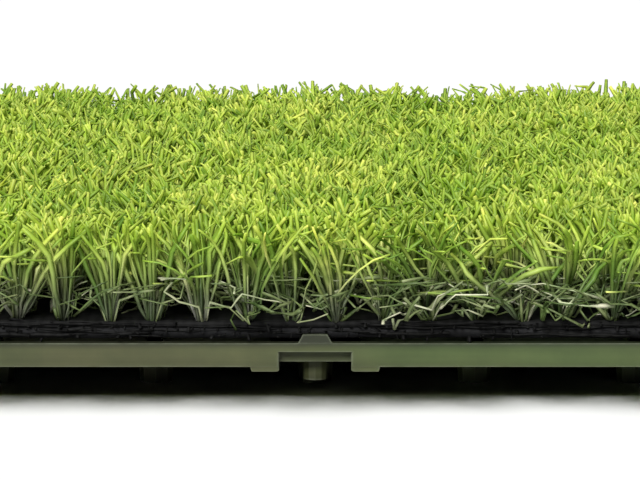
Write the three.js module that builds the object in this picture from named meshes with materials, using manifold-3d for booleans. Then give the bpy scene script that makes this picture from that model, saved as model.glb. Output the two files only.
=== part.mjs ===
// Interlocking artificial-turf tile: tufted grass rows in a two-layer backing, glued to a moulded tray.
// Millimetres, +Z up. The origin is on the ground under the centre foot, at the tile's centre.
// The pins are under the -Y and -X edges, the loops that they drop into are on the +Y and +X edges.
import * as THREE from 'three';
import { mergeVertices } from 'three/addons/utils/BufferGeometryUtils.js';
import Module from 'manifold-3d';

const wasm = await Module();
wasm.setup();

// ---- driving dimensions, mm ----
const TILE = 300;                 // side of the square tile
const HALF = TILE / 2;
const CELL = TILE / 9;            // pitch of the ribs and of the feet
const CELLS_OUT = 4;              // rib lines on each side of the middle one
const JOINT_GAP = 0.1;            // clearance between stacked layers
const SNAP = 1 / 1024;            // grid for corners, so that faces meant to be level are exactly level
const STEP = 0.15;                // moulded step where one wall runs into another
const OVERLAP = 1;                // how far joined solids run into each other, and cuts run past

// tray
const FOOT_H = 5.7;               // underside of the rim and ribs above the ground
const TRAY_TOP = 10.6;
const RIM_T = 2.2;
const RIB_T = 3;
const RIB_TOP = TRAY_TOP - STEP;
const FOOT_TOP_R = 3.9;
const FOOT_BOTTOM_R = 3.3;
const FOOT_SIDES = 8;
const PITCH_LINK = 100;           // spacing of the pins and of the loops along an edge
const LINKS_OUT = 1;              // links on each side of the middle one

// notch in the rim, with the pin that hangs inside it
const NOTCH_W = 15.2;
const STRIP_BOTTOM = 8.8;         // underside of the strip of rim that bridges the notch
const POCKET_DEPTH = 13;
const POCKET_WALL = 1.8;
const CHEEK_W = 5.3;              // deeper stretch of rim on each side of the notch
const CHEEK_BOTTOM = 4.7;
const CHEEK_SLOPE = 1.6;
const INNER_RIB_IN = 2.5;         // stiffening rib behind the strip, set back from the face
const INNER_RIB_T = 1.4;
const INNER_RIB_BOTTOM = 6.4;
const PIN_IN = 8;                 // pin axis behind the tile's edge
const PIN_R = 2.55;
const PIN_BOTTOM = 2;
const PIN_SIDES = 12;
const LUG_BASE_W = 7;             // small locating lug on the rim over each pin
const LUG_TOP_W = 5;
const LUG_H = 1.8;
const LUG_T = 1.2;

// loop that slides under the neighbour's strip and takes its pin
const LOOP_OUT = PIN_IN + 0.4;    // hole axis beyond the tile's edge
const LOOP_R = 6.6;
const LOOP_HOLE_R = 3.3;
const LOOP_BOTTOM = 3;
const LOOP_TOP = 6;
const LOOP_ARC_STEPS = 8;
const LOOP_TAB_T = 2.2;           // tongue of rim that carries the loop

// glue, backing and pile
const GLUE_W = 3.4;
const GLUE_H = 0.9;
const GLUE_INSET = 12;            // bare ends of each bead
const BACKING = TILE - 3;         // side of the backing cloth
const COATING_T = 2;
const CLOTH_T = 1.2;
const ROWS = 32;
const GAUGE = TILE / ROWS;        // spacing of the tufted rows
const ROW_ROOT_W = 3;
const ROW_TOP_W = GAUGE - 0.4;
const ROW_SHOULDER = 0.55;        // share of the pile height where the blades reach their full spread
const PILE_H = 19.5;

const COATING_BOTTOM = RIB_TOP + 2 * JOINT_GAP + GLUE_H;
const CLOTH_BOTTOM = COATING_BOTTOM + COATING_T + JOINT_GAP;
const PILE_BOTTOM = CLOTH_BOTTOM + CLOTH_T + JOINT_GAP;

const MATERIALS = {
  tray: new THREE.MeshStandardMaterial({ color: 0x5a6544, roughness: 0.55, metalness: 0 }),
  glue: new THREE.MeshStandardMaterial({ color: 0xc9c3a8, roughness: 0.35, metalness: 0 }),
  coating: new THREE.MeshStandardMaterial({ color: 0x17181a, roughness: 0.8, metalness: 0 }),
  cloth: new THREE.MeshStandardMaterial({ color: 0x202220, roughness: 0.9, metalness: 0 }),
  grass: new THREE.MeshStandardMaterial({ color: 0x93b03e, roughness: 0.5, metalness: 0 }),
};

const tile = new THREE.Group();
tile.name = 'turf_tile';

function addPiece(name, geometry, material) {
  const mesh = new THREE.Mesh(geometry, material.clone());
  mesh.name = name;
  tile.add(mesh);
}

// ---- solids ----

function toSolid(geometry) {
  const bare = geometry.clone();
  bare.deleteAttribute('normal');
  bare.deleteAttribute('uv');
  const welded = mergeVertices(bare);
  const mesh = new wasm.Mesh({
    numProp: 3,
    vertProperties: welded.attributes.position.array.map((value) => Math.round(value / SNAP) * SNAP),
    triVerts: new Uint32Array(welded.index.array),
  });
  return new wasm.Manifold(mesh);
}

function toGeometry(solid) {
  const mesh = solid.getMesh();
  const geometry = new THREE.BufferGeometry();
  geometry.setAttribute('position', new THREE.BufferAttribute(new Float32Array(mesh.vertProperties), 3));
  geometry.setIndex(new THREE.BufferAttribute(new Uint32Array(mesh.triVerts), 1));
  geometry.computeVertexNormals();
  return geometry;
}

function joinAll(solids) {
  return solids.reduce((whole, solid) => whole.add(solid));
}

function boxGeometry(low, high) {
  const size = high.map((value, i) => value - low[i]);
  const geometry = new THREE.BoxGeometry(...size);
  geometry.translate(...low.map((value, i) => value + size[i] / 2));
  return geometry;
}

function box(low, high) {
  return toSolid(boxGeometry(low, high));
}

// An upright rod or cone frustum centred on (x, y).
function rod(x, y, bottom, top, bottomRadius, topRadius, sides) {
  const geometry = new THREE.CylinderGeometry(topRadius, bottomRadius, top - bottom, sides);
  geometry.rotateX(Math.PI / 2);
  geometry.translate(x, y, (top + bottom) / 2);
  return toSolid(geometry);
}

// An outline in the XZ plane, extruded along +Y from y0 to y1.
function prismAlongY(outline, y0, y1) {
  const shape = new THREE.Shape(outline.map(([x, z]) => new THREE.Vector2(x, z)));
  const geometry = new THREE.ExtrudeGeometry(shape, { depth: y1 - y0, bevelEnabled: false });
  geometry.rotateX(Math.PI / 2);
  geometry.translate(0, y1, 0);
  return geometry;
}

// The same solid on another edge: a turn about the tile's centre.
function turned(solid, degrees) {
  return solid.rotate([0, 0, degrees]);
}

function linkOffsets() {
  const offsets = [];
  for (let i = -LINKS_OUT; i <= LINKS_OUT; i += 1) {
    offsets.push(i * PITCH_LINK);
  }
  return offsets;
}

// ---- tray ----

function rimAndRibs() {
  const outer = box([-HALF, -HALF, FOOT_H], [HALF, HALF, TRAY_TOP]);
  const inner = HALF - RIM_T;
  const solids = [outer.subtract(box([-inner, -inner, 0], [inner, inner, TRAY_TOP + OVERLAP]))];
  const end = HALF - RIM_T / 2;
  for (let i = -CELLS_OUT; i <= CELLS_OUT; i += 1) {
    const low = i * CELL - RIB_T / 2;
    const high = i * CELL + RIB_T / 2;
    solids.push(box([-end, low, FOOT_H + STEP], [end, high, RIB_TOP]));
    solids.push(box([low, -end, FOOT_H + 2 * STEP], [high, end, RIB_TOP - STEP]));
  }
  return joinAll(solids);
}

function feet() {
  const solids = [];
  for (let i = -CELLS_OUT; i <= CELLS_OUT; i += 1) {
    for (let j = -CELLS_OUT; j <= CELLS_OUT; j += 1) {
      const top = FOOT_H + OVERLAP;
      solids.push(rod(i * CELL, j * CELL, 0, top, FOOT_BOTTOM_R, FOOT_TOP_R, FOOT_SIDES));
    }
  }
  return joinAll(solids);
}

// What is cut out of the front edge at x before its pocket goes in.
function notchCut(x) {
  const side = NOTCH_W / 2;
  return box([x - side, -HALF - OVERLAP, 0], [x + side, -HALF + POCKET_DEPTH, STRIP_BOTTOM]);
}

// The deeper stretch of rim beside the notch; direction is +1 to its right and -1 to its left.
function cheek(x, direction) {
  const near = x + direction * (NOTCH_W / 2 + STEP);
  const far = near + direction * CHEEK_W;
  const slopeEnd = far + direction * CHEEK_SLOPE;
  const top = TRAY_TOP - OVERLAP;
  const outline = [[near, CHEEK_BOTTOM], [far, CHEEK_BOTTOM], [slopeEnd, top], [near, top]];
  return toSolid(prismAlongY(outline, -HALF + STEP, -HALF + RIM_T + STEP));
}

function pocketWall(x, direction) {
  const inner = x + direction * (NOTCH_W / 2 - STEP);
  const outer = inner + direction * POCKET_WALL;
  const low = [Math.min(inner, outer), -HALF + 2 * STEP, CHEEK_BOTTOM + STEP];
  const high = [Math.max(inner, outer), -HALF + POCKET_DEPTH + POCKET_WALL - STEP, TRAY_TOP - 3 * STEP];
  return box(low, high);
}

function pocket(x) {
  const side = NOTCH_W / 2;
  const back = -HALF + POCKET_DEPTH;
  const roofBottom = STRIP_BOTTOM - STEP;
  const ribFront = -HALF + INNER_RIB_IN;
  const roofFront = -HALF + RIM_T / 2;
  const roofEnd = back + POCKET_WALL;
  const solids = [
    box([x - side - STEP, roofFront, roofBottom], [x + side + STEP, roofEnd, TRAY_TOP - 4 * STEP]),
    box([x - side, back - STEP, FOOT_H + 3 * STEP], [x + side, roofEnd - 2 * STEP, roofBottom + STEP]),
    box([x - side, ribFront, INNER_RIB_BOTTOM], [x + side, ribFront + INNER_RIB_T, TRAY_TOP - OVERLAP]),
    rod(x, -HALF + PIN_IN, PIN_BOTTOM, TRAY_TOP - OVERLAP, PIN_R, PIN_R, PIN_SIDES),
    lug(x),
  ];
  for (const direction of [-1, 1]) {
    solids.push(pocketWall(x, direction), cheek(x, direction));
  }
  return joinAll(solids);
}

function lug(x) {
  const outline = [
    [x - LUG_BASE_W / 2, TRAY_TOP - OVERLAP],
    [x + LUG_BASE_W / 2, TRAY_TOP - OVERLAP],
    [x + LUG_BASE_W / 2, TRAY_TOP],
    [x + LUG_TOP_W / 2, TRAY_TOP + LUG_H],
    [x - LUG_TOP_W / 2, TRAY_TOP + LUG_H],
    [x - LUG_BASE_W / 2, TRAY_TOP],
  ];
  return toSolid(prismAlongY(outline, -HALF + STEP, -HALF + STEP + LUG_T));
}

// A flat ring on a straight tongue, on the back edge at x.
function loop(x) {
  const centre = HALF + LOOP_OUT;
  const root = HALF - LOOP_TAB_T;
  const outline = new THREE.Shape();
  outline.moveTo(-LOOP_R, root);
  outline.lineTo(LOOP_R, root);
  outline.lineTo(LOOP_R, centre);
  outline.absarc(0, centre, LOOP_R, 0, Math.PI, false);
  outline.lineTo(-LOOP_R, root);
  const hole = new THREE.Path();
  hole.absarc(0, centre, LOOP_HOLE_R, 0, 2 * Math.PI, true);
  outline.holes.push(hole);
  const ring = new THREE.ExtrudeGeometry(outline, {
    depth: LOOP_TOP - LOOP_BOTTOM,
    bevelEnabled: false,
    curveSegments: LOOP_ARC_STEPS,
  });
  ring.translate(x, 0, LOOP_BOTTOM);
  const low = [x - LOOP_R + STEP, root + STEP, LOOP_BOTTOM + STEP];
  const high = [x + LOOP_R - STEP, HALF - STEP, FOOT_H + OVERLAP];
  const tab = box(low, high);
  return toSolid(ring).add(tab);
}

function tray() {
  let body = rimAndRibs().add(feet());
  const quarterTurns = [0, -90];  // the -Y and +Y edges, then the -X and +X edges
  for (const x of linkOffsets()) {
    for (const angle of quarterTurns) {
      body = body.subtract(turned(notchCut(x), angle)).add(turned(pocket(x), angle));
      body = body.add(turned(loop(x), angle));
    }
  }
  return toGeometry(body);
}

// ---- soft layers ----

function addGlue() {
  const bottom = RIB_TOP + JOINT_GAP;
  const end = HALF - GLUE_INSET;
  for (let i = -CELLS_OUT; i <= CELLS_OUT; i += 1) {
    const at = i * CELL;
    const low = [-end, at - GLUE_W / 2, bottom];
    const high = [end, at + GLUE_W / 2, bottom + GLUE_H];
    const number = String(i + CELLS_OUT + 1).padStart(2, '0');
    addPiece(`glue_bead_${number}`, boxGeometry(low, high), MATERIALS.glue);
  }
}

function addBacking() {
  const side = BACKING / 2;
  const coatingTop = COATING_BOTTOM + COATING_T;
  const clothTop = CLOTH_BOTTOM + CLOTH_T;
  const coating = boxGeometry([-side, -side, COATING_BOTTOM], [side, side, coatingTop]);
  const cloth = boxGeometry([-side, -side, CLOTH_BOTTOM], [side, side, clothTop]);
  addPiece('backing_coating', coating, MATERIALS.coating);
  addPiece('backing_cloth', cloth, MATERIALS.cloth);
}

// One row of tufts is one yarn stitched through the cloth along Y, spreading from its root line.
function rowOutline(x) {
  const root = ROW_ROOT_W / 2;
  const top = ROW_TOP_W / 2;
  const shoulder = PILE_BOTTOM + PILE_H * ROW_SHOULDER;
  return [
    [x - root, PILE_BOTTOM],
    [x + root, PILE_BOTTOM],
    [x + top, shoulder],
    [x + top, PILE_BOTTOM + PILE_H],
    [x - top, PILE_BOTTOM + PILE_H],
    [x - top, shoulder],
  ];
}

function addRows() {
  for (let i = 0; i < ROWS; i += 1) {
    const x = (i - (ROWS - 1) / 2) * GAUGE;
    const number = String(i + 1).padStart(2, '0');
    addPiece(`tuft_row_${number}`, prismAlongY(rowOutline(x), -HALF, HALF), MATERIALS.grass);
  }
}

addPiece('base_tray', tray(), MATERIALS.tray);
addGlue();
addBacking();
addRows();

export default tile;
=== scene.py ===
import math

import bmesh
import bpy
import numpy as np
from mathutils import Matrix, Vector


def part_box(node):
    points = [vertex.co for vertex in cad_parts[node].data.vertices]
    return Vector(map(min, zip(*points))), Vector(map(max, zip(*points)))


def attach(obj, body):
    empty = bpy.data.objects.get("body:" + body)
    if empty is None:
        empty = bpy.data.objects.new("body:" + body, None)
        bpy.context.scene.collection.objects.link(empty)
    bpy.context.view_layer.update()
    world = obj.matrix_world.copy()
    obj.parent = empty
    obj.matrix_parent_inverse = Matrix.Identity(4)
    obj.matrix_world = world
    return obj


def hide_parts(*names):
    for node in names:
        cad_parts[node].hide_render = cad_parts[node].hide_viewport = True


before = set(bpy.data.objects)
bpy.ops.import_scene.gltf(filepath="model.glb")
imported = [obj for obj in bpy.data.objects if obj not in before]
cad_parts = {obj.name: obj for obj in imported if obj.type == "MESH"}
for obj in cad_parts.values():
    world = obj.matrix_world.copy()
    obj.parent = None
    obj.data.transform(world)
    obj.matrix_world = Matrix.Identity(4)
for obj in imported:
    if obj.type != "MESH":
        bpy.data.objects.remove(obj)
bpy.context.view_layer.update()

# The looks of an interlocking turf tile: blades and curled thatch stitched in rows through a black
# backing, on a moulded olive tray. Metres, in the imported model's own frame.

MM = 0.001
SEED = 20

TRAY_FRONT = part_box("base_tray")[0].y
CLOTH_LOW, CLOTH_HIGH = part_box("backing_cloth")
COAT_LOW, COAT_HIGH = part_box("backing_coating")
ROW_NODES = sorted(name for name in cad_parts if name.startswith("tuft_row_"))
GLUE_NODES = sorted(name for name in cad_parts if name.startswith("glue_bead_"))
ROW_LOW, ROW_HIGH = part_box(ROW_NODES[0])
FRONT = ROW_LOW.y
BACK = ROW_HIGH.y
PILE_BASE = ROW_LOW.z
PILE_TOP = ROW_HIGH.z
SIDE = BACK                    # half the width of the tile, which is square round the origin

# camera
CAMERA_DISTANCE = 0.80         # from the front edge of the tile
CAMERA_ELEVATION = math.radians(7.7)
FIELD_WIDTH = 0.1309           # width of the tile that the picture takes in at the front edge
AIM_HEIGHT = 32.0 * MM
AIM_RIGHT = 1.0 * MM
SENSOR = 36.0

# tray
TRAY_TOP = 10.6 * MM           # top of the rim, below the small lugs
TRAY_ROUNDING = 0.22 * MM
WELD = 0.002 * MM
FLAT_ANGLE = math.radians(1)   # faces that meet at less than this are one face
ROUNDED_ANGLE = math.radians(35)

# stitches
STITCHES = 50                  # in a row
STITCH_INSET = 3.2 * MM        # from the ends of a row to its first and last stitch
STITCH_SHIFT_ALONG = 0.5 * MM
STITCH_SHIFT_ACROSS = 0.35 * MM
YARN_RADIUS = 1.0 * MM         # how far a strand's root is from the middle of its stitch
ROOT_SINK = 0.3 * MM

# Blades. Angles are in radians. Three numbers are a mean, the spread between bunches and the spread in one.
BLADES_PER_STITCH = 23
BUNCHES = 6                    # bunches of blades in a tuft
BLADE_LENGTH = 23.4 * MM
LENGTH_SHARE = (0.98, 0.08, 0.02)
BLADE_WIDTH = 1.12 * MM
BLADE_THICK = 0.42 * MM
BLADE_STEPS = 6
TAPER_AT = (0, 0.6, 0.93, 1.0)
TAPER_WIDTH = (0.6, 1.0, 1.0, 0.75)
WIDTH_SPREAD = 0.12
BUNCH_BEARING_SPREAD = 0.45
BUNCH_WIDTH = 0.15 * MM
STEM_LEAN = (0.24, 0.14, 0.07)
LEAST_DROOP = 0.12             # the tip leans this much more than the stem, and by a random amount besides
TIP_DROOP = (0.2, 0.3, 0.2)
DROOP_FROM, DROOP_TO = 0.5, 0.95
TIP_TURN = (0, 1.3, 0.4)
TURN_FROM = 0.3
LEAN_NOISE = 0.11
CRUSHED_SPLAY = 0.5            # extra lean of a fully crushed tuft's bunches
CRUSHED_BEND = 0.3             # extra lean at the tip of a fully crushed blade
KINKED = 0.15                  # share of blades with a sharp kink
KINKED_CRUSHED = 0.6           # and how much larger it is where fully crushed
KINK_AT = (0.2, 0.9)
KINK_LEAN = (-0.3, 1.1)
KINK_TURN = (-2.5, 2.5)
MOST_LEAN = math.radians(84)   # no blade bends below the level
SHEARED = 20.5 * MM            # the pile is sheared level at about this height above the cloth
SHEAR_SPREAD = 0.4 * MM
TINT_POWERS = (0.55, 0.9, 3.2)    # upright blades are paler and crushed ones duller
TINT_CRUSH = (0, 0.35, 1)

# how full the tufts are
CUT_ZONE = (3 * MM, 12 * MM)   # tufts this near an edge are cut
CUT_SHARE = 0.45
TUFT_SHARE = (0.4, 1.35)
CRUSHED_THINNER = 0.5

# thatch
THATCH_PER_STITCH = 7
THATCH_KEPT = 0.45             # share of the thatch strands where the pile is upright
THATCH_KEPT_CRUSHED = 0.8      # and how much larger it is where fully crushed
THATCH_LENGTH = 26.0 * MM
THATCH_SHARE = (0.9, 0.25)
THATCH_SHARE_LIMITS = (0.3, 1.5)
THATCH_WIDTH = 0.75 * MM
THATCH_WIDTH_SPREAD = 0.15
THATCH_THICK = 0.3 * MM
THATCH_STEPS = 10
THATCH_STRAIGHT = 2            # steps between two kinks
THATCH_FIRST_LEAN = (0.1, 0.9)
THATCH_LEAN = (0.5, 2.1)
THATCH_TURN = 1.0
THATCH_RISE = 10 * MM          # the thatch stays in the lower part of the pile
THATCH_TINT_POWERS = (1.4, 1.2)

# crushed patches of the pile
CRUSH_LEVEL = 0.35
CRUSH_SWING = 0.3
CRUSH_PITCH = 70 * MM
FRONT_DEPTH = 25 * MM          # in this zone the pile is upright on the left and crushed on the right
FRONT_TURN = (5 * MM, 30 * MM)
FRONT_MORE = 0.7
FRONT_LESS = 0.3

# edges of the pile
EDGE_REACH = 7 * MM            # the outward push fades over this distance from an edge
EDGE_PUSH = 0.28
EDGE_BOW = 1.3
MOST_OUT = 13 * MM             # how far a strand may reach past the tile's edge
HANG_GAP = 0.3 * MM            # a strand this far past the cloth may hang below it
HANG_DEPTH = 2.0 * MM
LIE_HEIGHT = 0.15 * MM         # a strand over the cloth stays this far above it

# backing
GRID_STEP = 3 * MM
COAT_WANDER = 0.5 * MM
CLOTH_WANDER = 0.4 * MM
GLUE_STEP = 1.5 * MM
GLUE_WANDER = 0.5 * MM
LONG_WAVE = 14 * MM
SHORT_WAVE = 4 * MM
SHORT_SHARE = 0.4
SWELL = 22 * MM
SWELL_SHARE = 0.25

# frayed edge of the cloth
FRAY_LOW = COAT_LOW.z + 0.5 * MM
FRAY_HIGH = CLOTH_HIGH.z
LOOSE_TAPES = 110              # along each edge
LOOSE_STEPS = 12
LOOSE_INSET = 4 * MM
LOOSE_THICK = 0.12 * MM
CUT_ENDS = 420                 # along each edge
CUT_STEPS = 4
CUT_INSET = 3 * MM
CUT_SINK = 1.0 * MM            # a cut end starts this far inside the cloth
CUT_THICK = 0.1 * MM


# ---- materials ----

WHITE = (1, 1, 1, 1)


class Nodes:
    """A material's node tree, with short calls for the nodes used here."""

    def __init__(self, name):
        self.material = bpy.data.materials.new(name)
        self.material.use_nodes = True
        self.tree = self.material.node_tree
        self.tree.nodes.clear()
        self.shader = self.add("ShaderNodeBsdfPrincipled")
        self.output = self.add("ShaderNodeOutputMaterial")
        self.link(self.shader.outputs["BSDF"], self.output.inputs["Surface"])

    def add(self, kind, **settings):
        node = self.tree.nodes.new(kind)
        for key, value in settings.items():
            setattr(node, key, value)
        return node

    def link(self, source, target):
        self.tree.links.new(source, target)

    def attribute(self, name):
        """A number that the mesh carries at each vertex."""
        return self.add("ShaderNodeAttribute", attribute_name=name).outputs["Fac"]

    def place(self, stretch=(1, 1, 1)):
        """Object coordinates, scaled along each axis."""
        coords = self.add("ShaderNodeTexCoord")
        mapping = self.add("ShaderNodeMapping")
        mapping.inputs["Scale"].default_value = stretch
        self.link(coords.outputs["Object"], mapping.inputs["Vector"])
        return mapping.outputs["Vector"]

    def noise(self, scale, detail=2.0, stretch=(1, 1, 1)):
        """Noise from 0 to 1, with about that many lumps to the metre."""
        node = self.add("ShaderNodeTexNoise")
        node.inputs["Scale"].default_value = scale
        node.inputs["Detail"].default_value = detail
        self.link(self.place(stretch), node.inputs["Vector"])
        return node.outputs["Fac"]

    def ramp(self, factor, stops):
        node = self.add("ShaderNodeValToRGB")
        elements = node.color_ramp.elements
        while len(elements) < len(stops):
            elements.new(0.5)
        for element, (position, color) in zip(elements, stops):
            element.position = position
            element.color = (*color, 1)
        self.link(factor, node.inputs["Fac"])
        return node.outputs["Color"]

    def mix(self, factor, first, second, blend="MIX"):
        node = self.add("ShaderNodeMix", data_type="RGBA", blend_type=blend)
        for socket, value in (("Factor", factor), ("A", first), ("B", second)):
            target = next(s for s in node.inputs if s.name == socket and s.enabled)
            if hasattr(value, "is_output"):
                self.link(value, target)
            else:
                target.default_value = value
        return next(s for s in node.outputs if s.enabled)

    def spread(self, value, low, high):
        """Stretches a value from 0 to 1 over another range."""
        node = self.add("ShaderNodeMapRange")
        node.inputs["To Min"].default_value = low
        node.inputs["To Max"].default_value = high
        self.link(value, node.inputs["Value"])
        return node.outputs["Result"]

    def glow_through(self, share):
        """Lets that share of the light through, in the surface's own colour."""
        thin = self.add("ShaderNodeBsdfTranslucent")
        both = self.add("ShaderNodeMixShader")
        both.inputs["Fac"].default_value = share
        self.link(self.shader.inputs["Base Color"].links[0].from_socket, thin.inputs["Color"])
        self.link(self.shader.outputs["BSDF"], both.inputs[1])
        self.link(thin.outputs["BSDF"], both.inputs[2])
        self.link(both.outputs["Shader"], self.output.inputs["Surface"])

    def height(self, low, high):
        """Goes from 0 to 1 between two heights above the ground."""
        coords = self.add("ShaderNodeTexCoord")
        split = self.add("ShaderNodeSeparateXYZ")
        node = self.add("ShaderNodeMapRange")
        node.inputs["From Min"].default_value = low
        node.inputs["From Max"].default_value = high
        self.link(coords.outputs["Object"], split.inputs["Vector"])
        self.link(split.outputs["Z"], node.inputs["Value"])
        return node.outputs["Result"]

    def edges(self, radius, sharpness):
        """White along the solid's edges: where the normal rounded off over a radius leaves the true one."""
        rounded = self.add("ShaderNodeBevel", samples=8)
        rounded.inputs["Radius"].default_value = radius
        true = self.add("ShaderNodeNewGeometry")
        agree = self.add("ShaderNodeVectorMath", operation="DOT_PRODUCT")
        self.link(rounded.outputs["Normal"], agree.inputs[0])
        self.link(true.outputs["True Normal"], agree.inputs[1])
        node = self.add("ShaderNodeMapRange")
        node.inputs["From Min"].default_value = 1.0
        node.inputs["From Max"].default_value = 1.0 - sharpness
        self.link(agree.outputs["Value"], node.inputs["Value"])
        return node.outputs["Result"]

    def bump(self, height, strength, distance):
        node = self.add("ShaderNodeBump")
        node.inputs["Strength"].default_value = strength
        node.inputs["Distance"].default_value = distance
        self.link(height, node.inputs["Height"])
        self.link(node.outputs["Normal"], self.shader.inputs["Normal"])


def grass_material():
    """Blades go from pale grey-green stems to bright tips, with painted shade low in the pile and painted
    light near its top; the thatch is duller and strawy.
    """
    m = Nodes("turf_yarn")
    along = m.attribute("along")
    tint = m.attribute("tint")
    # painted shade and light: the blade colour is dark low in the pile and bright near its top, as light
    # and shade fall there
    blade = m.ramp(along, [
        (0.0, (0.21, 0.23, 0.17)),
        (0.25, (0.165, 0.205, 0.095)),
        (0.5, (0.42, 0.51, 0.155)),
        (0.78, (0.54, 0.66, 0.12)),
        (0.93, (0.38, 0.51, 0.047)),
        (1.0, (0.54, 0.64, 0.10)),
    ])
    shade = m.ramp(tint, [
        (0.0, (0.58, 0.72, 0.52)),
        (0.35, (0.86, 0.93, 0.78)),
        (0.8, (1.02, 1.01, 1.05)),
        (1.0, (1.28, 1.18, 1.5)),
    ])
    blade = m.mix(1.0, blade, shade, "MULTIPLY")
    thatch = m.ramp(tint, [
        (0.0, (0.11, 0.16, 0.05)),
        (0.45, (0.20, 0.25, 0.10)),
        (0.8, (0.38, 0.42, 0.24)),
        (1.0, (0.72, 0.73, 0.55)),
    ])
    color = m.mix(m.attribute("thatch"), blade, thatch)
    patch = m.ramp(m.noise(42, 3.0), [(0.35, (0.76, 0.88, 0.66)), (0.65, (1.08, 1.04, 1.08))])
    color = m.mix(1.0, color, patch, "MULTIPLY")
    # partly painted shade: the dark blotches stand for shade in gaps between tufts, and the light ones are
    # random tone
    clump_tone_and_gap_shade = m.ramp(m.noise(230, 2.0, (1, 1, 0.2)), [(0.35, (0.56, 0.67, 0.48)), (0.65, (1.42, 1.31, 1.46))])
    color = m.mix(1.0, color, clump_tone_and_gap_shade, "MULTIPLY")
    grain = m.spread(m.noise(700, 3.0), 0.85, 1.12)
    m.link(m.mix(1.0, color, grain, "MULTIPLY"), m.shader.inputs["Base Color"])
    m.shader.inputs["Roughness"].default_value = 0.45
    m.shader.inputs["Specular IOR Level"].default_value = 0.4
    m.glow_through(0.25)
    return m.material


def tray_material():
    """Olive plastic with streaks, scuffs and edges rubbed pale, with painted shade at the top of the rim
    under the turf and near the ground.
    """
    m = Nodes("tray_plastic")
    cloud = m.noise(9, 2.0, (1, 1, 3))
    color = m.ramp(cloud, [(0.38, (0.061, 0.067, 0.023)), (0.6, (0.053, 0.083, 0.020))])
    flow = m.noise(60, 4.0, (0.15, 0.15, 7))
    streak = m.ramp(flow, [(0.3, (0.82, 0.82, 0.80)), (0.7, (1.18, 1.15, 1.2))])
    color = m.mix(1.0, color, streak, "MULTIPLY")
    scuff = m.ramp(m.noise(170, 6.0), [(0.35, (0.90, 0.91, 0.92)), (0.7, (1.14, 1.10, 1.16))])
    color = m.mix(1.0, color, scuff, "MULTIPLY")
    # painted shade: the top of the rim and the lugs are darkened where the backing and turf overhang them
    painted_top_shade = m.mix(m.height(TRAY_TOP - 1.3 * MM, TRAY_TOP), WHITE, (0.28, 0.29, 0.32, 1))
    color = m.mix(1.0, color, painted_top_shade, "MULTIPLY")
    # painted shade: the feet and pin darken towards the ground, in the shade under the tray
    painted_low_shade = m.mix(m.height(1.5 * MM, 5.0 * MM), (0.42, 0.42, 0.38, 1), WHITE)
    color = m.mix(1.0, color, painted_low_shade, "MULTIPLY")
    worn = m.mix(1.0, m.edges(0.7 * MM, 0.18), m.spread(m.noise(320, 4.0), -0.2, 1.1), "MULTIPLY")
    color = m.mix(worn, color, (0.17, 0.19, 0.125, 1))
    m.link(color, m.shader.inputs["Base Color"])
    m.link(m.spread(m.noise(300, 3.0), 0.42, 0.62), m.shader.inputs["Roughness"])
    m.bump(m.noise(2600, 2.0), 0.25, 0.05 * MM)
    return m.material


def coating_material():
    """Black latex, dull and lumpy."""
    m = Nodes("latex_coat")
    color = m.ramp(m.noise(500, 4.0), [(0.3, (0.003, 0.003, 0.0035)), (0.7, (0.008, 0.008, 0.0085))])
    m.link(color, m.shader.inputs["Base Color"])
    m.shader.inputs["Specular IOR Level"].default_value = 0.15
    m.link(m.spread(m.noise(900, 3.0), 0.5, 0.8), m.shader.inputs["Roughness"])
    m.bump(m.noise(1400, 3.0), 0.6, 0.2 * MM)
    return m.material


def cloth_material():
    """Black woven tape: a fine check of light and dark from two crossed waves."""
    m = Nodes("woven_tape")
    waves = []
    for direction in ("X", "Y"):
        wave = m.add("ShaderNodeTexWave", bands_direction=direction)
        wave.inputs["Scale"].default_value = 140
        wave.inputs["Distortion"].default_value = 0.6
        m.link(m.place(), wave.inputs["Vector"])
        waves.append(wave.outputs["Color"])
    weave = m.mix(0.5, waves[0], waves[1])
    fibre = m.spread(m.noise(1500, 3.0), 0.5, 1.5)
    color = m.mix(weave, (0.003, 0.003, 0.003, 1), (0.010, 0.010, 0.0095, 1))
    m.link(m.mix(1.0, color, fibre, "MULTIPLY"), m.shader.inputs["Base Color"])
    m.shader.inputs["Roughness"].default_value = 0.7
    m.shader.inputs["Specular IOR Level"].default_value = 0.12
    m.bump(weave, 0.5, 0.15 * MM)
    return m.material


def glue_material():
    """Amber hot-melt glue."""
    m = Nodes("hot_melt_glue")
    color = m.ramp(m.noise(250, 3.0), [(0.3, (0.42, 0.38, 0.24)), (0.7, (0.62, 0.58, 0.42))])
    m.link(color, m.shader.inputs["Base Color"])
    m.link(m.spread(m.noise(500, 2.0), 0.25, 0.45), m.shader.inputs["Roughness"])
    m.bump(m.noise(400, 2.0), 0.4, 0.2 * MM)
    return m.material


def floor_material():
    """Pale studio floor, very slightly clouded."""
    m = Nodes("studio_floor")
    color = m.ramp(m.noise(2, 2.0), [(0.0, (0.90, 0.90, 0.895)), (1.0, (0.93, 0.93, 0.925))])
    m.link(color, m.shader.inputs["Base Color"])
    m.shader.inputs["Roughness"].default_value = 0.6
    return m.material


# ---- meshes ----

def new_object(name, mesh, material):
    piece = bpy.data.objects.new(name, mesh)
    bpy.context.scene.collection.objects.link(piece)
    mesh.materials.clear()
    mesh.materials.append(material)
    return piece


def quad_mesh(name, points, quads):
    mesh = bpy.data.meshes.new(name)
    mesh.vertices.add(len(points))
    mesh.vertices.foreach_set("co", np.ascontiguousarray(points, np.float32).ravel())
    mesh.loops.add(quads.size)
    mesh.loops.foreach_set("vertex_index", np.ascontiguousarray(quads, np.int32).ravel())
    mesh.polygons.add(len(quads))
    mesh.polygons.foreach_set("loop_start", np.arange(0, quads.size, 4, dtype=np.int32))
    mesh.update(calc_edges=True)
    return mesh


def unit(vectors):
    return vectors / np.maximum(np.linalg.norm(vectors, axis=-1, keepdims=True), 1e-12)


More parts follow.
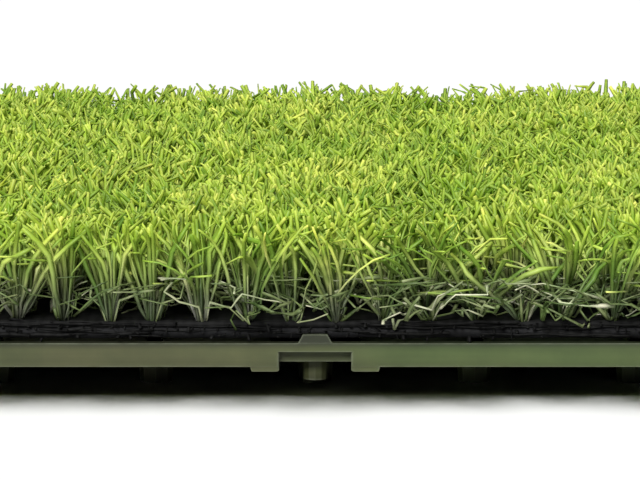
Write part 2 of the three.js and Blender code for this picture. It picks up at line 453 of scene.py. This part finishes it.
def strand_sections(paths, across, width, thick, taper):
    """Four-cornered flat sections along each path: left edge, front ridge, right edge, back ridge."""
    tangent = unit(np.gradient(paths, axis=1))
    side = across[:, None, :] - (across[:, None, :] * tangent).sum(-1, keepdims=True) * tangent
    side = unit(side)
    normal = np.cross(tangent, side)
    half_w = (width[:, None] * taper[None, :] / 2)[..., None]
    half_t = (thick * (0.5 + taper / 2)[None, :, None]) / 2
    wide = side * half_w
    deep = normal * half_t
    return np.stack([paths + wide, paths + deep, paths - wide, paths - deep], axis=2)


def strand_quads(count, steps):
    """Side quads and the two end quads of each strand, with four vertices to a section."""
    ring = np.arange(4)
    ahead = (ring + 1) % 4
    section = np.arange(steps)[:, None] * 4
    sides = np.stack([section + ring, section + ahead, section + 4 + ahead, section + 4 + ring], axis=-1)
    caps = np.array([[[3, 2, 1, 0]], [[0, 1, 2, 3]]]) + np.array([[[0]], [[steps * 4]]])
    one = np.concatenate([sides.reshape(-1, 4), caps.reshape(-1, 4)])
    return (one[None] + (np.arange(count) * 4 * (steps + 1))[:, None, None]).reshape(-1, 4)


def strand_cells(steps):
    """Where each corner of one strand's quads lies in a unit cell: round the strand, then along it."""
    sides_end = 0.9
    caps_start = 0.92
    cap_width = 0.4
    ring = np.arange(4)
    u0 = np.broadcast_to(ring / 4, (steps, 4))
    v0 = np.broadcast_to((np.arange(steps) / steps)[:, None], (steps, 4)) * sides_end
    du = 1 / 4
    dv = sides_end / steps
    sides = np.stack([
        np.stack([u0, v0], -1),
        np.stack([u0 + du, v0], -1),
        np.stack([u0 + du, v0 + dv], -1),
        np.stack([u0, v0 + dv], -1),
    ], axis=2).reshape(-1, 4, 2)
    caps = []
    for left in (0.0, 0.5):
        right = left + cap_width
        caps.append([[left, caps_start], [right, caps_start], [right, 1.0], [left, 1.0]])
    return np.concatenate([sides, np.array(caps)])


class StrandMesh:
    """Collects groups of strands and makes one mesh of them, with a bake map of one cell a strand."""

    def __init__(self):
        self.points = []
        self.quads = []
        self.cells = []
        self.values = {"along": [], "tint": [], "thatch": []}
        self.vertices = 0
        self.strands = 0

    def add(self, paths, across, width, thick, taper, tint, thatch):
        """Adds a group of strands; thatch is 1 for thatch and 0 for blades, and sets their colour."""
        count, sections = paths.shape[:2]
        steps = sections - 1
        corners = strand_sections(paths, across, width, thick, taper)
        self.points.append(corners.reshape(-1, 3))
        self.quads.append(strand_quads(count, steps) + self.vertices)
        numbers = self.strands + np.arange(count)
        cells = np.broadcast_to(strand_cells(steps)[None], (count, steps * 4 + 2, 4, 2))
        self.cells.append((numbers, cells))
        # the height share of along makes the blade ramp paint shade low in the pile and light near its top
        height = (corners[..., 2] - PILE_BASE) / (PILE_TOP - PILE_BASE)
        along = (np.linspace(0, 1, sections)[None, :, None] + np.clip(height, 0, 1)) / 2
        self.values["along"].append(along.ravel())
        self.values["tint"].append(np.repeat(tint, sections * 4))
        self.values["thatch"].append(np.full(count * sections * 4, float(thatch)))
        self.vertices += count * sections * 4
        self.strands += count

    def make(self, name):
        mesh = quad_mesh(name, np.concatenate(self.points), np.concatenate(self.quads))
        for key, values in self.values.items():
            layer = mesh.attributes.new(key, "FLOAT", "POINT")
            layer.data.foreach_set("value", np.concatenate(values).astype(np.float32))
        across = math.ceil(math.sqrt(self.strands))
        margin = 0.12
        maps = []
        for numbers, cells in self.cells:
            corner = np.stack([numbers % across, numbers // across], -1)[:, None, None, :]
            maps.append(((corner + margin / 2 + cells * (1 - margin)) / across).reshape(-1, 2))
        layer = mesh.uv_layers.new(name="OFBake")
        layer.data.foreach_set("uv", np.concatenate(maps).astype(np.float32).ravel())
        return mesh


# ---- pile ----

def smooth_step(value, low, high):
    t = np.clip((value - low) / (high - low), 0, 1)
    return t * t * (3 - 2 * t)


def soft_noise(x, y, pitch, seed):
    """Smooth noise from about -1 to 1 over the tile, from a few waves in fixed directions."""
    rng = np.random.default_rng(seed)
    total = np.zeros_like(x)
    waves = 7
    usual_peak = 1.4
    for _ in range(waves):
        angle = rng.uniform(0, 2 * math.pi)
        wave = rng.uniform(0.7, 1.6) * 2 * math.pi / pitch
        total += np.sin(wave * (x * math.cos(angle) + y * math.sin(angle)) + rng.uniform(0, 2 * math.pi))
    return total / math.sqrt(waves) / usual_peak


def crush(x, y):
    """How crushed the pile is, from 0 to 1: in patches, and more at the right of the front edge."""
    patches = CRUSH_LEVEL + CRUSH_SWING * soft_noise(x, y, CRUSH_PITCH, SEED + 1)
    front = 1 - smooth_step(y, FRONT, FRONT + FRONT_DEPTH)
    right = smooth_step(x, *FRONT_TURN)
    return np.clip(patches + FRONT_MORE * front * right - FRONT_LESS * front * (1 - right), 0, 1)


def edge_push(x, y):
    """Outward push on the tufts near an edge, which nothing holds up from outside."""
    push_x = np.exp((x - SIDE) / EDGE_REACH) - np.exp((-SIDE - x) / EDGE_REACH)
    push_y = np.exp((y - BACK) / EDGE_REACH) - np.exp((FRONT - y) / EDGE_REACH)
    return EDGE_PUSH * push_x, EDGE_PUSH * push_y


def walk(roots, lean, bearing, length, steps):
    """Paths from the roots: lean is the angle from upright at each step, bearing its direction."""
    step = (length / steps)[:, None]
    moves = np.stack([
        np.sin(lean) * np.cos(bearing) * step,
        np.sin(lean) * np.sin(bearing) * step,
        np.cos(lean) * step,
    ], -1)
    paths = np.concatenate([np.zeros((len(roots), 1, 3)), np.cumsum(moves, axis=1)], axis=1)
    return roots[:, None, :] + paths


def shear(paths, rng):
    """Shortens each blade that would rise above the shearing height, and keeps its shape."""
    rise = paths[..., 2].max(axis=1) - PILE_BASE
    height = SHEARED + rng.normal(0, SHEAR_SPREAD, len(paths))
    scale = np.minimum(1, height / rise)
    roots = paths[:, :1]
    return roots + (paths - roots) * scale[:, None, None]


def press_down(paths):
    """Presses the thatch into the lower part of the pile."""
    rise = paths[..., 2] - PILE_BASE
    paths[..., 2] = PILE_BASE + np.where(rise > 0, THATCH_RISE * np.tanh(rise / THATCH_RISE), rise)
    return paths


def keep_above(paths):
    """Strands lie on the backing instead of going through it, and stick out little past its edges."""
    sideways = paths[..., :2]
    past = np.maximum(np.abs(sideways) - SIDE, 0)
    held = SIDE + MOST_OUT * np.tanh(past / MOST_OUT)
    paths[..., :2] = np.where(past > 0, np.sign(sideways) * held, sideways)
    off_x = np.abs(paths[..., 0]) > CLOTH_HIGH.x + HANG_GAP
    off_y = np.abs(paths[..., 1]) > CLOTH_HIGH.y + HANG_GAP
    lowest = np.where(off_x | off_y, PILE_BASE - HANG_DEPTH, PILE_BASE + LIE_HEIGHT)
    lowest[:, 0] = -np.inf  # the roots stay in the cloth
    paths[..., 2] = np.maximum(paths[..., 2], lowest)
    return paths


def stitch_places(x, rng):
    y = np.linspace(FRONT + STITCH_INSET, BACK - STITCH_INSET, STITCHES)
    y = y + rng.normal(0, STITCH_SHIFT_ALONG, STITCHES)
    return np.stack([x + rng.normal(0, STITCH_SHIFT_ACROSS, STITCHES), y], -1)


def from_edge(x, y):
    """Distance to the nearest edge of the tile."""
    return SIDE - np.maximum(np.abs(x), np.abs(y))


def fullness(places, rng):
    """Share of its blades that each tuft keeps: fewer where it is cut at the edge or crushed."""
    edge = from_edge(places[:, 0], places[:, 1])
    share = np.interp(edge, CUT_ZONE, [CUT_SHARE, 1.0]) * rng.uniform(*TUFT_SHARE, len(places))
    return share * (1 - CRUSHED_THINNER * crush(places[:, 0], places[:, 1]))


def root_points(stitch, around, offset):
    """Where strands leave the cloth, at a bearing and distance from the middle of their stitch."""
    return np.stack([
        stitch[:, 0] + offset * np.cos(around),
        stitch[:, 1] + offset * np.sin(around),
        np.full(len(stitch), PILE_BASE - ROOT_SINK),
    ], -1)


def add_kinks(lean, bearing, t, crushed, rng):
    """Bends some of the blades sharply at one point, and more of them where the pile is crushed."""
    count = len(lean)
    kinked = rng.uniform(0, 1, count) < KINKED + KINKED_CRUSHED * crushed
    kink_at = rng.uniform(*KINK_AT, count)
    kink_lean = rng.uniform(*KINK_LEAN, count)
    kink_turn = rng.uniform(*KINK_TURN, count)
    after = kinked[:, None] & (t[None] > kink_at[:, None])
    lean = np.where(after, lean + kink_lean[:, None], lean)
    bearing = np.where(after, bearing + kink_turn[:, None], bearing)
    return np.minimum(lean, MOST_LEAN), bearing


def bow_outward(paths, stitch):
    """Bows the blades near an edge away from the tile, most at their tips."""
    push_x, push_y = edge_push(stitch[:, 0], stitch[:, 1])
    fraction = np.linspace(0, 1, BLADE_STEPS + 1)[None] ** EDGE_BOW
    rise = paths[..., 2] - paths[:, :1, 2]
    paths[..., 0] += push_x[:, None] * rise * fraction
    paths[..., 1] += push_y[:, None] * rise * fraction
    return paths


def blade_paths(places, rng):
    """Straight-stemmed blades with bent tips, in a few bunches to a tuft."""
    tuft = np.repeat(np.arange(len(places)), BLADES_PER_STITCH)
    share = fullness(places, rng)
    tuft = tuft[rng.uniform(0, 1, len(tuft)) < share[tuft]]
    count = len(tuft)
    bunch = tuft * BUNCHES + rng.integers(0, BUNCHES, count)
    bunches = len(places) * BUNCHES

    def by_bunch(mean, between, within):
        return rng.normal(mean, between, bunches)[bunch] + rng.normal(0, within, count)

    stitch = places[tuft]
    around = rng.uniform(0, 2 * math.pi, bunches)[bunch] + rng.normal(0, BUNCH_BEARING_SPREAD, count)
    offset = YARN_RADIUS * np.sqrt(rng.uniform(0, 1, bunches))[bunch] + rng.normal(0, BUNCH_WIDTH, count)
    roots = root_points(stitch, around, offset)
    crushed = crush(stitch[:, 0], stitch[:, 1])
    t = (np.arange(BLADE_STEPS) + 0.5) / BLADE_STEPS
    splay = rng.uniform(0, 1, bunches)[bunch]
    start = np.abs(by_bunch(*STEM_LEAN)) + CRUSHED_SPLAY * crushed * splay
    droop = LEAST_DROOP + np.abs(by_bunch(*TIP_DROOP))
    bend = smooth_step(t, DROOP_FROM, DROOP_TO)[None]
    lean = start[:, None] + droop[:, None] * bend + CRUSHED_BEND * crushed[:, None] * t[None]
    lean = lean + rng.normal(0, LEAN_NOISE, lean.shape)
    drift = by_bunch(*TIP_TURN)
    bearing = around[:, None] + drift[:, None] * smooth_step(t, TURN_FROM, 1.0)[None]
    lean, bearing = add_kinks(lean, bearing, t, crushed, rng)
    length = BLADE_LENGTH * by_bunch(*LENGTH_SHARE)
    paths = bow_outward(walk(roots, lean, bearing, length, BLADE_STEPS), stitch)
    return keep_above(shear(paths, rng))


def thatch_paths(places, rng):
    """Short straights with a kink between each two, lying low among the blades."""
    stitch = np.repeat(places, THATCH_PER_STITCH, axis=0)
    share = THATCH_KEPT + THATCH_KEPT_CRUSHED * crush(stitch[:, 0], stitch[:, 1])
    stitch = stitch[rng.uniform(0, 1, len(stitch)) < share]
    count = len(stitch)
    around = rng.uniform(0, 2 * math.pi, count)
    roots = root_points(stitch, around, YARN_RADIUS)
    straights = THATCH_STEPS // THATCH_STRAIGHT
    first = rng.uniform(*THATCH_FIRST_LEAN, (count, 1))
    others = rng.uniform(*THATCH_LEAN, (count, straights - 1))
    turn = rng.normal(0, THATCH_TURN, (count, straights))
    lean = np.repeat(np.concatenate([first, others], axis=1), THATCH_STRAIGHT, axis=1)
    bearing = np.repeat(around[:, None] + np.cumsum(turn, axis=1), THATCH_STRAIGHT, axis=1)
    length = THATCH_LENGTH * np.clip(rng.normal(*THATCH_SHARE, count), *THATCH_SHARE_LIMITS)
    paths = walk(roots, lean, bearing, length, THATCH_STEPS)
    return keep_above(press_down(paths))


def random_across(count, rng):
    """Directions for the strands' flat sides, nearly level."""
    angle = rng.uniform(0, math.pi, count)
    return np.stack([np.cos(angle), np.sin(angle), rng.normal(0, 0.15, count)], -1)


def add_blades(strands, places, rng):
    blades = blade_paths(places, rng)
    count = len(blades)
    taper = np.interp(np.linspace(0, 1, BLADE_STEPS + 1), TAPER_AT, TAPER_WIDTH)
    width = BLADE_WIDTH * rng.normal(1, WIDTH_SPREAD, count)
    crushed = crush(blades[:, 0, 0], blades[:, 0, 1])
    tint = rng.uniform(0, 1, count) ** np.interp(crushed, TINT_CRUSH, TINT_POWERS)
    strands.add(blades, random_across(count, rng), width, BLADE_THICK, taper, tint, 0)


def add_thatch(strands, places, rng):
    thatch = thatch_paths(places, rng)
    count = len(thatch)
    taper = np.ones(THATCH_STEPS + 1)
    width = THATCH_WIDTH * rng.normal(1, THATCH_WIDTH_SPREAD, count)
    crushed = crush(thatch[:, 0, 0], thatch[:, 0, 1])
    tint = rng.uniform(0, 1, count) ** np.interp(crushed, [0, 1], THATCH_TINT_POWERS)
    strands.add(thatch, random_across(count, rng), width, THATCH_THICK, taper, tint, 1)


def tuft_row(node, number, material):
    """One row of the pile: the blades and thatch that one needle stitches."""
    rng = np.random.default_rng(SEED * 1000 + number)
    low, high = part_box(node)
    places = stitch_places((low.x + high.x) / 2, rng)
    strands = StrandMesh()
    add_blades(strands, places, rng)
    add_thatch(strands, places, rng)
    piece = new_object(f"turf_{node}", strands.make(f"turf_{node}"), material)
    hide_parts(node)
    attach(piece, "root")


def pile():
    material = grass_material()
    for number, node in enumerate(ROW_NODES):
        tuft_row(node, number, material)


# ---- backing ----

def wander_noise(x, y, seed):
    """A long wave and a short one."""
    long_wave = soft_noise(x, y, LONG_WAVE, seed)
    short_wave = soft_noise(x, y, SHORT_WAVE, seed + 1)
    return long_wave * (1 - SHORT_SHARE) + short_wave * SHORT_SHARE


def slab_mesh(name, low, high, step, wander):
    """A closed slab whose edges wander in and out and whose faces undulate a little."""
    nx = max(2, round((high.x - low.x) / step))
    ny = max(2, round((high.y - low.y) / step))
    x = np.linspace(low.x, high.x, nx + 1)
    y = np.linspace(low.y, high.y, ny + 1)
    gx, gy = np.meshgrid(x, y, indexing="ij")
    px = gx + wander * wander_noise(gx, gy, SEED + 11)
    py = gy + wander * wander_noise(gx, gy, SEED + 13)
    wave = soft_noise(gx, gy, SWELL, SEED + 15) * wander * SWELL_SHARE
    layers = []
    for z in (high.z, low.z):
        layers.append(np.stack([px, py, z + wave], -1).reshape(-1, 3))
    points = np.concatenate(layers)
    index = np.arange((nx + 1) * (ny + 1)).reshape(nx + 1, ny + 1)
    top = np.stack([index[:-1, :-1], index[1:, :-1], index[1:, 1:], index[:-1, 1:]], -1).reshape(-1, 4)
    bottom = top[:, ::-1] + index.size
    rim = np.concatenate([index[:-1, 0], index[-1, :-1], index[:0:-1, -1], index[0, :0:-1]])
    ahead = np.roll(rim, -1)
    walls = np.stack([rim + index.size, ahead + index.size, ahead, rim], -1)
    return quad_mesh(name, points, np.concatenate([top, bottom, walls]))


def backing():
    """The latex coat, the woven cloth laid on it, and the cloth's frayed edge."""
    coat_mesh = slab_mesh("latex_coat", COAT_LOW, COAT_HIGH, GRID_STEP, COAT_WANDER)
    coat = new_object("latex_coat", coat_mesh, coating_material())
    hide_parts("backing_coating")
    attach(coat, "root")
    weave = cloth_material()
    cloth_mesh = slab_mesh("woven_cloth", CLOTH_LOW, CLOTH_HIGH, GRID_STEP, CLOTH_WANDER)
    cloth = new_object("woven_cloth", cloth_mesh, weave)
    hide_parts("backing_cloth")
    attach(cloth, "root")
    fringe = new_object("cloth_fringe", fringe_mesh(), weave)
    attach(fringe, "root")


def turn_points(paths, quarter):
    """The same paths a number of quarter turns round the tile's middle."""
    angle = quarter * math.pi / 2
    x = paths[..., 0] * math.cos(angle) - paths[..., 1] * math.sin(angle)
    y = paths[..., 0] * math.sin(angle) + paths[..., 1] * math.cos(angle)
    return np.stack([x, y, paths[..., 2]], -1)


def loose_tapes(strands, quarter, rng):
    """Tapes that have come out of the weave and lie along one edge."""
    reach = rng.uniform(8, 34, LOOSE_TAPES) * MM
    middle = rng.uniform(-SIDE + LOOSE_INSET, SIDE - LOOSE_INSET, LOOSE_TAPES)
    t = np.linspace(-0.5, 0.5, LOOSE_STEPS + 1)[None]
    x = np.clip(middle[:, None] + reach[:, None] * t, -SIDE, SIDE)
    z = rng.uniform(FRAY_LOW, FRAY_HIGH, LOOSE_TAPES)[:, None]
    z = z + rng.normal(0, 0.5 * MM, LOOSE_TAPES)[:, None] * t
    z = z + 0.12 * MM * np.sin(x / (1.7 * MM) + rng.uniform(0, 6, LOOSE_TAPES)[:, None])
    y = CLOTH_LOW.y + rng.uniform(-0.5, 0.5, LOOSE_TAPES)[:, None] * MM
    y = y + 0.25 * MM * np.sin(x / (2.9 * MM) + z / (0.25 * MM))
    paths = turn_points(np.stack([x, y, z], -1), quarter)
    upward = np.tile(np.array([[0.0, 0.0, 1.0]]), (LOOSE_TAPES, 1))
    across = upward + rng.normal(0, 0.5, (LOOSE_TAPES, 3))
    width = rng.uniform(0.35, 0.9, LOOSE_TAPES) * MM
    tint = rng.uniform(0, 1, LOOSE_TAPES)
    strands.add(paths, across, width, LOOSE_THICK, np.ones(LOOSE_STEPS + 1), tint, 1)


def cut_ends(strands, quarter, rng):
    """Ends of the tapes that were cut through at one edge."""
    x = np.linspace(-SIDE + CUT_INSET, SIDE - CUT_INSET, CUT_ENDS) + rng.normal(0, 0.3 * MM, CUT_ENDS)
    t = np.linspace(0, 1, CUT_STEPS + 1)[None]
    out = rng.uniform(0.2, 1.7, CUT_ENDS)[:, None] * MM
    droop = rng.normal(0.3, 0.6, CUT_ENDS)[:, None] * MM
    z = rng.uniform(FRAY_LOW, FRAY_HIGH, CUT_ENDS)[:, None] - droop * t ** 2
    y = CLOTH_LOW.y + CUT_SINK - (CUT_SINK + out) * t
    x = x[:, None] + rng.normal(0, 0.6, CUT_ENDS)[:, None] * MM * t
    paths = turn_points(np.stack([x, y, z], -1), quarter)
    angle = quarter * math.pi / 2
    across = np.tile(np.array([[math.cos(angle), math.sin(angle), 0.0]]), (CUT_ENDS, 1))
    width = rng.uniform(0.15, 0.8, CUT_ENDS) * MM
    tint = rng.uniform(0, 1, CUT_ENDS)
    strands.add(paths, across, width, CUT_THICK, np.ones(CUT_STEPS + 1), tint, 1)


def fringe_mesh():
    """Frayed edge of the cloth, on all four sides. Lengths drawn at random are in millimetres."""
    rng = np.random.default_rng(SEED + 30)
    strands = StrandMesh()
    for quarter in range(4):
        loose_tapes(strands, quarter, rng)
        cut_ends(strands, quarter, rng)
    return strands.make("cloth_fringe")


# ---- tray and glue ----

def rounded_copy(node, name, radius, material):
    """A copy of the CAD solid with its moulded edges rounded."""
    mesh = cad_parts[node].data.copy()
    mesh.name = name
    piece = new_object(name, mesh, material)
    shape = bmesh.new()
    shape.from_mesh(mesh)
    bmesh.ops.remove_doubles(shape, verts=shape.verts, dist=WELD)
    bmesh.ops.dissolve_limit(shape, angle_limit=FLAT_ANGLE, verts=shape.verts, edges=shape.edges)
    shape.to_mesh(mesh)
    shape.free()
    bevel = piece.modifiers.new("round", "BEVEL")
    bevel.width = radius
    bevel.segments = 2
    bevel.limit_method = "ANGLE"
    bevel.angle_limit = ROUNDED_ANGLE
    bevel.use_clamp_overlap = True
    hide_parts(node)
    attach(piece, "root")
    return piece


def tray():
    rounded_copy("base_tray", "moulded_tray", TRAY_ROUNDING, tray_material())


def glue():
    material = glue_material()
    for node in GLUE_NODES:
        low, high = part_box(node)
        mesh = slab_mesh(f"set_{node}", low, high, GLUE_STEP, GLUE_WANDER)
        piece = new_object(f"set_{node}", mesh, material)
        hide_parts(node)
        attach(piece, "root")


# ---- studio ----

def studio():
    """A pale floor with light of its own, a white background, and two soft lamps for the tile."""
    bpy.ops.mesh.primitive_grid_add(size=8.0, x_subdivisions=4, y_subdivisions=4)
    ground = bpy.context.object
    ground.name = "floor"
    ground.data.materials.append(floor_material())

    world = bpy.data.worlds.new("studio")
    bpy.context.scene.world = world
    world.use_nodes = True
    background = world.node_tree.nodes["Background"]
    background.inputs["Color"].default_value = WHITE
    background.inputs["Strength"].default_value = 1.0
    world.cycles_visibility.diffuse = False
    world.cycles_visibility.glossy = False

    lit_floor = bpy.data.collections.new("floor_only")
    lit_floor.objects.link(ground)
    not_floor = bpy.data.collections.new("all_but_floor")
    not_floor.objects.link(ground)
    not_floor.collection_objects[0].light_linking.link_state = "EXCLUDE"
    soft_sun("key", -50, 20, 4.65, 30, not_floor)
    soft_sun("top", 12, 0, 1.65, 70, not_floor)
    soft_sun("floor_light", 20.5, 0, 4.0, 33, lit_floor)

    scene = bpy.context.scene
    scene.view_settings.view_transform = "Standard"
    scene.view_settings.look = "None"


def soft_sun(name, from_behind, from_left, strength, spread, receivers):
    """Even light from a wide patch of ceiling, tilted from overhead by these angles, in degrees."""
    data = bpy.data.lights.new(name, "SUN")
    data.energy = strength
    data.angle = math.radians(spread)
    lamp = bpy.data.objects.new(name, data)
    toward = Vector((-math.tan(math.radians(from_left)), math.tan(math.radians(from_behind)), 1))
    lamp.rotation_euler = toward.to_track_quat("Z", "Y").to_euler()
    bpy.context.scene.collection.objects.link(lamp)
    lamp.light_linking.receiver_collection = receivers


def camera():
    data = bpy.data.cameras.new("camera")
    data.sensor_width = SENSOR
    data.lens = SENSOR * CAMERA_DISTANCE / FIELD_WIDTH
    data.clip_start = 0.01
    data.clip_end = 50
    eye = bpy.data.objects.new("camera", data)
    aim = Vector((AIM_RIGHT, TRAY_FRONT, AIM_HEIGHT))
    back = Vector((0, -math.cos(CAMERA_ELEVATION), math.sin(CAMERA_ELEVATION)))
    eye.location = aim + CAMERA_DISTANCE * back
    eye.rotation_euler = (math.pi / 2 - CAMERA_ELEVATION, 0, 0)
    bpy.context.scene.collection.objects.link(eye)
    bpy.context.scene.camera = eye


camera()
studio()
tray()
glue()
backing()
pile()
